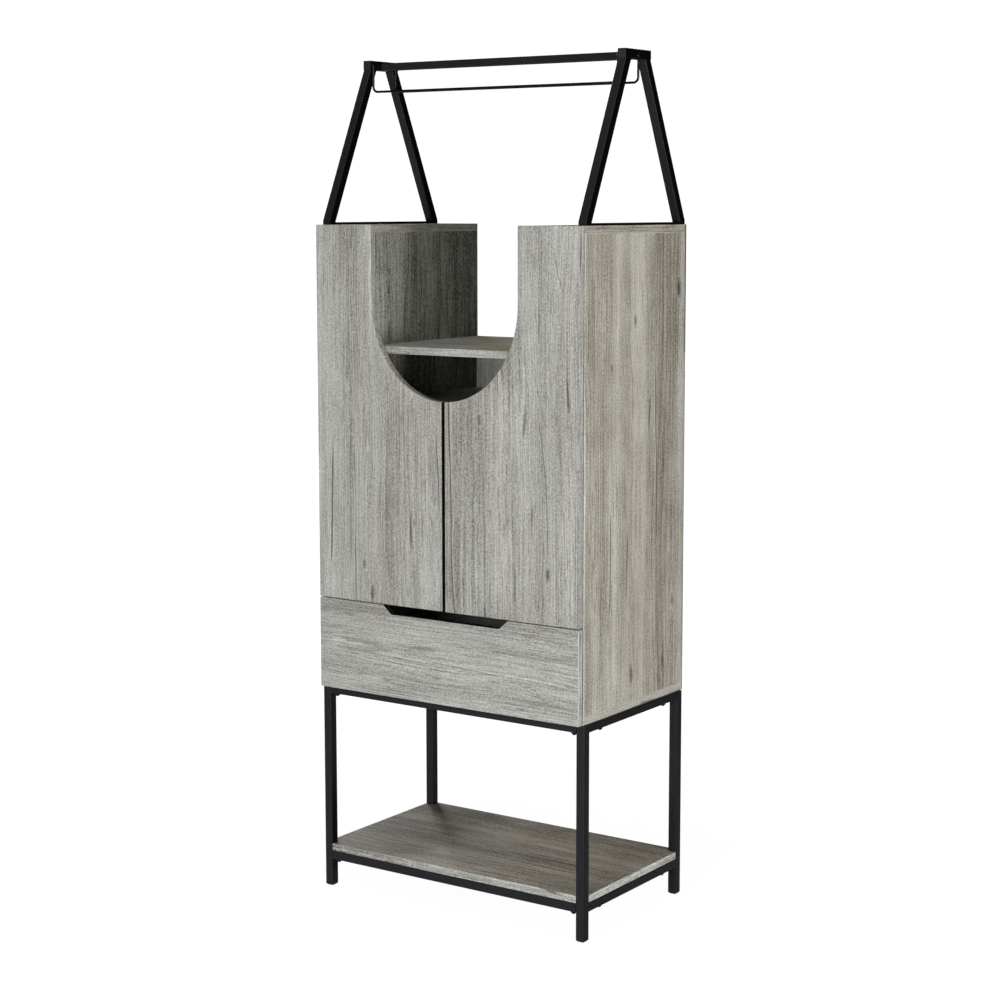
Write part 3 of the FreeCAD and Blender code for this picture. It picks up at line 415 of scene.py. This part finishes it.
# ---------------------------------------------------------------- which board gets which grain
BOARDS = {
    # name: (along, across, depth, options)
    # doors: the narrow faces are darkened as painted shade and the outer upright edges lifted again as painted light;
    # the edges that meet in the middle are coloured near black as painted shade of the narrow space between the doors
    "door_left": ("z", "x", "y", dict(seed=(3.1, 0.4, 1.7), gap_shade=True, edge=-0.20, flank=0.26, light=-0.055, rings=0.07, cracks=0.88, warm=0.22, blotch=0.08,
        knots=((0.7386, -0.2107, 0.0036, 0.55), (0.6781, -0.1895, 0.0042, 0.60), (0.838, -0.077, 0.0024, 0.5)),
        bands=((-0.2445, 0.006, -0.10, 0.73, 1.08), (-0.135, 0.026, -0.07, 0.66, 1.10), (-0.015, 0.040, 0.22, 0.66, 1.10), (-0.300, 0.016, 0.04, 0.66, 1.30),
               (-0.235, 0.050, -0.09, 1.15, 1.50)),
        lines=((((1.06, -0.243), (0.90, -0.246), (0.74, -0.246)), 0.0016, 0.55), (((1.04, -0.103), (0.86, -0.099), (0.70, -0.101)), 0.0013, 0.40)))),
    "door_right": ("z", "x", "y", dict(seed=(7.9, 2.3, 4.1), gap_shade=True, edge=-0.20, flank=0.26, light=-0.065, rings=0.07, cracks=0.88, warm=0.22, blotch=0.08,
        knots=((0.7612, 0.2610, 0.0052, 0.70), (1.0656, 0.0918, 0.0040, 0.50), (0.8754, 0.1188, 0.0026, 0.45)),
        bands=((0.032, 0.030, -0.19, 0.66, 1.10), (0.145, 0.034, 0.21, 0.66, 1.15), (0.225, 0.024, -0.06, 0.66, 1.10), (0.295, 0.030, 0.06, 0.66, 1.46), (0.322, 0.018, 0.09, 0.60, 1.60)),
        lines=((((1.0735, 0.2389), (0.9431, 0.2567), (0.7917, 0.2611)), 0.0017, 0.70), (((0.7348, 0.1183), (0.6623, 0.1180)), 0.0016, 0.65),
               (((1.413, 0.2734), (1.37, 0.2820), (1.326, 0.2942)), 0.0014, 0.60), (((1.20, 0.2210), (1.172, 0.2254), (1.057, 0.2558)), 0.0013, 0.50)))),
    # drawer front: the outer upright ends are lifted as painted light
    "drawer_front": ("x", "z", "y", dict(seed=(12.2, 5.5, 2.6), warm=0.12, blotch=0.06, rings=0.07, cracks=0.35, fine=1.08, coarse=0.75, flank=0.10, pull=True, light=0.04,
        bands=((0.640, 0.018, -0.12, -0.36, 0.36), (0.630, 0.014, -0.08, -0.36, -0.24), (0.555, 0.036, 0.14, -0.36, 0.10), (0.548, 0.020, 0.06, 0.10, 0.36),
               (0.492, 0.016, -0.14, -0.15, 0.36), (0.470, 0.014, -0.08, -0.24, -0.06)),
        lines=((((-0.1213, 0.5503), (0.0053, 0.5425), (0.1476, 0.5355)), 0.0013, 0.60), (((0.2068, 0.4918), (0.2458, 0.4787)), 0.0013, 0.5)))),
    # side panels: the faces that look to the front are darkened as painted shade of the narrow space behind the doors,
    # with a painted highlight line just behind the front edge
    "side_panel_right": ("z", "y", "x", dict(seed=(1.6, 8.2, 0.3), tones=BROWN, warm=0.30, blotch=0.32, cracks=0.85, rings=0.12, coarse=1.3, front=-0.65, light=0.04, rims=((-0.1893, 0.0034, 0.21),),
        knots=((1.3283, 0.1792, 0.0085, 0.90), (1.2649, 0.0035, 0.0055, 0.70), (1.1728, -0.088, 0.0036, 0.65), (0.5266, -0.0055, 0.0078, 0.75),
               (0.6617, 0.162, 0.0060, 0.70), (0.5345, 0.1234, 0.0050, 0.65)),
        bands=((0.130, 0.065, -0.14, 0.30, 1.60), (0.065, 0.034, -0.08, 0.30, 1.60), (-0.076, 0.020, 0.14, 0.30, 1.60), (0.192, 0.016, 0.07, 0.30, 1.60),
               (0.130, 0.080, -0.05, 0.80, 1.60), (0.130, 0.080, -0.07, 1.20, 1.60), (-0.130, 0.050, -0.05, 0.30, 0.80)),
        lines=((((1.1806, -0.0128), (1.12, -0.0060), (1.06, -0.0050)), 0.0017, 0.60), (((0.95, -0.0360), (0.88, -0.0330), (0.80, -0.0240)), 0.0016, 0.55),
               (((0.76, -0.0060), (0.70, 0.0), (0.64, 0.0010)), 0.0015, 0.50), (((1.40, -0.152), (1.10, -0.158), (0.80, -0.150)), 0.0014, 0.45)))),
    # the left side panel has the same painted shade on its front edges and the same painted highlight line
    "side_panel_left": ("z", "y", "x", dict(seed=(21.6, 3.2, 5.3), tones=BROWN, warm=0.3, blotch=0.3, front=-0.65, rims=((-0.1893, 0.0034, 0.21),))),
    # left partition: the whole board is darkened, its rear part over the well and niche darker still and a zone under
    # the well shelf darker again, all painted shade inside the well and the niche
    "partition_left": ("z", "y", "x", dict(seed=(9.3, 6.8, 2.2), light=-0.14, fine=1.3, coarse=1.4, tint=(0.97, 1.0, 0.96), rims=((0.2075, 0.0042, -0.6),),
        bands=((0.090, 0.120, -0.13, 1.00, 1.60),), zones=((1.082, 1.199, -0.20),), knots=((1.3236, -0.1212, 0.0045, 0.65),))),
    "partition_right": ("z", "y", "x", dict(seed=(14.7, 1.8, 7.4))),
    "cap_board_left": ("y", "x", "z", dict(seed=(5.2, 9.9, 3.3), tones=BROWN, edge=-0.06, face=-0.05)),
    "cap_board_right": ("y", "x", "z", dict(seed=(17.2, 4.1, 8.8), tones=BROWN, edge=-0.12)),
    "bottom_board": ("x", "y", "z", dict(seed=(6.1, 12.4, 1.1), tones=BROWN)),
    "divider_board": ("x", "y", "z", dict(seed=(2.7, 15.3, 6.2))),
    "well_shelf": ("x", "y", "z", dict(seed=(8.4, 7.7, 9.5), tones=GREY, tint=(1.06, 0.98, 0.83), tint_span=(-0.13, -0.04), edge=-0.07, face=0.12, bands=((0.0, 0.60, 0.20, -0.03, 0.40),),
        lines=((((-0.16, 0.020), (0.20, 0.024)), 0.0022, 0.6), (((-0.05, 0.120), (0.20, 0.118)), 0.0024, 0.5)))),
    # niche shelf: the top and underside are darkened as painted shade inside the niche
    "niche_shelf": ("x", "y", "z", dict(seed=(11.8, 10.6, 4.9), edge=0.10, face=-0.25)),
    # lower shelf: the top and underside are darkened as painted shade under the cabinet, the edges lifted as painted
    # light, and a wide dark band over the left end is painted shade
    "lower_shelf": ("x", "y", "z", dict(seed=(19.3, 13.1, 5.8), tones=BROWN, tint=(1.03, 1.0, 0.94), warm=0.6, blotch=0.5, fine=1.35, coarse=1.25, banding=True, edge=0.12, face=-0.10,
        bands=((-0.0235, 0.008, -0.16, 0.02, 0.25), (0.06, 0.012, -0.10, -0.25, 0.05), (0.0, 0.40, -0.26, -0.50, -0.12), (0.0, 0.40, 0.05, -0.06, 0.40), (0.175, 0.045, -0.09, -0.40, 0.40)))),
    "column_shelves": ("x", "y", "z", dict(seed=(4.4, 16.2, 7.1), edge=0.10)),
    "drawer_side_left": ("y", "z", "x", dict(seed=(13.5, 11.4, 2.9))),
    "drawer_side_right": ("y", "z", "x", dict(seed=(16.6, 14.9, 3.7))),
    "drawer_back": ("x", "z", "y", dict(seed=(18.9, 2.1, 9.2))),
}


def dress(name, *materials):
    """Puts the materials in the node's slots, the first in the slot that the part came with."""
    o = NODES[name]
    o.material_slots[0].material = materials[0]
    for extra in materials[1:]:
        o.data.materials.append(extra)
    return o


def soften(o, width, segments=2, edge_slot=0, angle=35):
    """Small round along the board's sharp edges, as edge banding has."""
    w = o.modifiers.new("join", "WELD")
    w.merge_threshold = 0.00001
    b = o.modifiers.new("round", "BEVEL")
    b.width = width
    b.segments = segments
    b.limit_method = "ANGLE"
    b.angle_limit = math.radians(angle)
    b.use_clamp_overlap = False
    b.harden_normals = False
    b.material = edge_slot


for name, (along, across, depth, options) in BOARDS.items():
    flat = wood("wood_" + name, along, across, depth, **options)
    # the rounded edges take a lighter copy of the board's material: a painted highlight along the edges, taken back on
    # the doors everywhere but along their outer upright edges
    painted_highlight = wood("arris_" + name, along, across, depth, **dict(options, light=options.get("light", 0.0) + 0.10, front=0.0, inner=-0.16 if name.startswith("door_") else 0.0, cracks=0.1, blotch=0.0, knots=(), lines=(), bands=()))
    soften(dress(name, flat, painted_highlight), 0.0010, edge_slot=1)

dress("back_lower", back_board("board_back_lower", (2.2, 6.6, 1.9), "y", -1, "z", "x", seams=(1.191,)))
dress("back_upper_left", back_board("board_back_upper_left", (4.8, 3.6, 7.9), "y", -1, "z", "x", seams=(1.191,), dark_edge=True))
dress("back_upper_right", back_board("board_back_upper_right", (9.8, 8.6, 2.9), "y", -1, "z", "x", seams=(1.191,), dark_edge=True))
dress("drawer_bottom", back_board("board_drawer_bottom", (7.8, 1.6, 5.9), "z", 1, "x", "y"))

steel = powder_coat("black_powder_coat")
plastic = moulded_plastic("black_moulded_plastic")
zinc_plate = zinc("zinc_plated_steel")
deep = powder_coat("black_rods", (0.0006, 0.0006, 0.0007), (0.0010, 0.0010, 0.0012), (0.0006, 0.0006, 0.0007), 0.42)
for name, o in NODES.items():
    slots = [s.material.name if s.material else "" for s in o.material_slots]
    if slots and slots[0].startswith("black_steel"):
        dress(name, deep if name.startswith("glass_rod") else steel)
    elif slots and slots[0].startswith("black_plastic"):
        dress(name, plastic)
    elif slots and slots[0].startswith("zinc_steel"):
        dress(name, zinc_plate)


# ---------------------------------------------------------------- floor, sky and lights
def add_floor():
    import bmesh
    me = bpy.data.meshes.new("floor")
    bm = bmesh.new()
    bmesh.ops.create_circle(bm, cap_ends=True, segments=96, radius=14.0)
    bm.to_mesh(me)
    bm.free()
    o = bpy.data.objects.new("floor", me)
    bpy.context.scene.collection.objects.link(o)
    t = Tree("pale_floor")
    x, y, z = t.split(t.coords())
    far = t.m("SQRT", t.add(t.mul(x, x), t.mul(y, y)))
    lit = t.new("ShaderNodeBsdfDiffuse")
    mottle = t.noise(t.coords(), (3, 3, 3), 3.0)
    t.put(lit.inputs["Color"], t.ramp(mottle, [(0.3, (0.60, 0.60, 0.60)), (0.7, (0.64, 0.64, 0.64))]))
    glow = t.new("ShaderNodeEmission")
    glow.inputs["Color"].default_value = (1, 1, 1, 1)
    glow.inputs["Strength"].default_value = 1.10
    path = t.new("ShaderNodeLightPath")
    share = t.step(far, 0.6, 2.6, 0.88, 1.0)
    blend = t.new("ShaderNodeMixShader")
    t.put(blend.inputs[0], t.mul(share, path.outputs["Is Camera Ray"]))
    t.put(blend.inputs[1], lit.outputs[0])
    t.put(blend.inputs[2], glow.outputs[0])
    out = t.new("ShaderNodeOutputMaterial")
    t.put(out.inputs[0], blend.outputs[0])
    me.materials.append(t.mat)
    return o


def add_sky():
    w = bpy.data.worlds.new("studio")
    bpy.context.scene.world = w
    w.use_nodes = True
    nt = w.node_tree
    nt.nodes.clear()
    tc = nt.nodes.new("ShaderNodeTexCoord")
    sep = nt.nodes.new("ShaderNodeSeparateXYZ")
    nt.links.new(tc.outputs["Generated"], sep.inputs[0])
    front = nt.nodes.new("ShaderNodeMapRange")
    front.interpolation_type = "SMOOTHSTEP"
    nt.links.new(sep.outputs["Y"], front.inputs["Value"])
    front.inputs["From Min"].default_value = -1.0
    front.inputs["From Max"].default_value = 1.0
    front.inputs["To Min"].default_value = 0.03
    front.inputs["To Max"].default_value = 0.015
    light = nt.nodes.new("ShaderNodeBackground")
    nt.links.new(front.outputs["Result"], light.inputs["Strength"])
    light.inputs["Color"].default_value = (1.0, 1.0, 1.0, 1)
    plain = nt.nodes.new("ShaderNodeBackground")
    plain.inputs["Color"].default_value = (1, 1, 1, 1)
    plain.inputs["Strength"].default_value = 1.05
    path = nt.nodes.new("ShaderNodeLightPath")
    blend = nt.nodes.new("ShaderNodeMixShader")
    nt.links.new(path.outputs["Is Camera Ray"], blend.inputs[0])
    nt.links.new(light.outputs[0], blend.inputs[1])
    nt.links.new(plain.outputs[0], blend.inputs[2])
    out = nt.nodes.new("ShaderNodeOutputWorld")
    nt.links.new(blend.outputs[0], out.inputs[0])


def softbox(name, at, aim, size, power, colour=(1, 1, 1)):
    d = bpy.data.lights.new(name, "AREA")
    d.shape = "RECTANGLE"
    d.size, d.size_y = size
    d.energy = power
    d.color = colour
    o = bpy.data.objects.new(name, d)
    bpy.context.scene.collection.objects.link(o)
    o.location = at
    o.visible_camera = False
    o.rotation_euler = (Vector(aim) - Vector(at)).to_track_quat("-Z", "Y").to_euler()
    return o


add_floor()
add_sky()
softbox("key", (0.85, -4.95, 1.40), (0, 0, 0.95), (1.8, 2.4), 158)
softbox("side_front", (4.75, -1.75, 0.90), (0, 0, 0.90), (1.4, 1.2), 140, (1.0, 0.995, 0.985))
softbox("side", (5.0, -0.9, 0.90), (0, 0, 0.90), (2.0, 1.2), 52, (1.0, 0.995, 0.985))
softbox("rear_left", (-4.0, 2.8, 1.9), (0, 0, 0.95), (2.0, 2.0), 110)
softbox("top", (0.3, -1.6, 4.6), (0, 0, 0.95), (2.0, 2.0), 34)


# ---------------------------------------------------------------- camera at the photograph's angle
def add_camera():
    yaw, pitch, roll = math.radians(34.63), math.radians(-7.0), math.radians(-0.07)
    forward = Vector((-math.sin(yaw) * math.cos(pitch), math.cos(yaw) * math.cos(pitch), math.sin(pitch)))
    right = Vector((math.cos(yaw), math.sin(yaw), 0.0))
    up = right.cross(forward)
    r = right * math.cos(roll) + up * math.sin(roll)
    u = up * math.cos(roll) - right * math.sin(roll)
    cam = bpy.data.cameras.new("camera")
    cam.sensor_width = 36.0
    cam.lens = 76.377
    cam.shift_y = -0.0324
    cam.clip_start, cam.clip_end = 0.05, 60.0
    cam.dof.use_dof = False
    o = bpy.data.objects.new("camera", cam)
    bpy.context.scene.collection.objects.link(o)
    m = Matrix((r, u, -forward)).transposed().to_4x4()
    m.translation = Vector((2.58440, -3.74436, 1.49779))
    o.matrix_world = m
    bpy.context.scene.camera = o


add_camera()
view = bpy.context.scene.view_settings
view.view_transform = "Standard"
view.look = "None"
view.exposure = 0.0
view.gamma = 1.0
